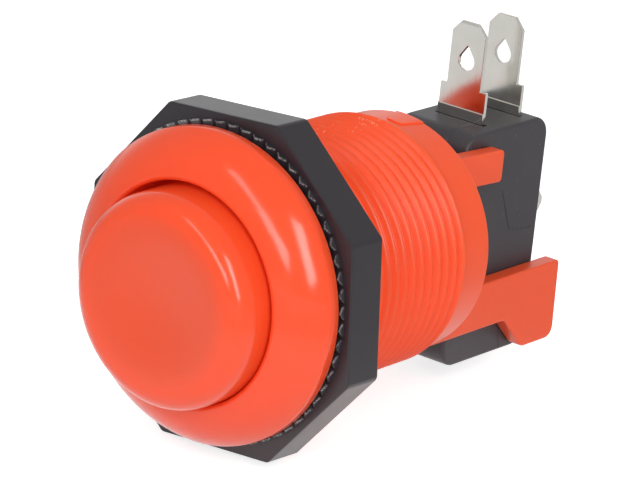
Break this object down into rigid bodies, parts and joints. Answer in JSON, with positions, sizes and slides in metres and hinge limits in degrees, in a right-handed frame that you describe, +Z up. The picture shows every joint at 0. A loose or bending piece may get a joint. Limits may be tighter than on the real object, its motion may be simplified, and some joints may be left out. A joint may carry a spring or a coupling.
{
  "type": "panel pushbutton switch",
  "caption": "Round panel pushbutton with a dished sprung plunger in a rounded bezel, a threaded barrel, an octagonal nut and a snap-action switch on moulded arms.",
  "frame": {"origin": "on the barrel's axis, in the bezel's seating face that lies against a panel", "axes": "+Y along the barrel from the button to the switch, +Z up towards the two upright tabs, +X to the right seen from the front"},
  "size_m": [0.0382, 0.0708, 0.0417],
  "materials": {
    "orange_plastic": "glossy moulded plastic",
    "black_nylon": "satin moulded plastic",
    "black_plastic": "fine matt moulded plastic",
    "pin_plastic": "smooth moulded plastic",
    "tinned_brass": "bright tinned sheet",
    "contact_silver": "bright rivet",
    "blade_bronze": "rolled spring strip",
    "spring_steel": "drawn wire"
  },
  "bodies": {
    "housing": {"body": "orange_plastic", "plunger_spring": "spring_steel", "switch_case": "black_plastic", "switch_cover": "black_plastic", "nc_terminal": "tinned_brass", "no_terminal": "tinned_brass", "com_terminal": "tinned_brass", "nc_contact": "contact_silver", "no_contact": "contact_silver", "snap_spring": "blade_bronze"},
    "plunger": {"plunger": "orange_plastic"},
    "nut": {"nut": "black_nylon"},
    "switch_pin": {"switch_pin": "pin_plastic"},
    "contact_arm": {"moving_blade": "blade_bronze", "moving_contact": "contact_silver"}
  },
  "joints": [
    {"name": "plunger_press", "type": "slide", "parent": "housing", "child": "plunger", "axis": [0, 1, 0], "range_m": [0, 0.0025], "stiffness_N_per_m": 400, "springref_m": -0.004, "deforming": ["plunger_spring"]},
    {"name": "nut_travel", "type": "slide", "parent": "housing", "child": "nut", "axis": [0, 1, 0], "range_m": [0, 0.021]},
    {"name": "pin_press", "type": "slide", "parent": "housing", "child": "switch_pin", "axis": [0, 1, 0], "range_m": [0, 0.001]},
    {"name": "arm_swing", "type": "hinge", "parent": "housing", "child": "contact_arm", "pos_m": [0, 0.04525, -0.0085], "axis": [-1, 0, 0], "range_deg": [0, 6.8], "deforming": ["snap_spring"]}
  ],
  "couplings": [
    {"joint": "pin_press", "follows": "plunger_press", "ratio": 0.4},
    {"joint": "arm_swing", "follows": "plunger_press", "rad_per_m": 47.059}
  ]
}
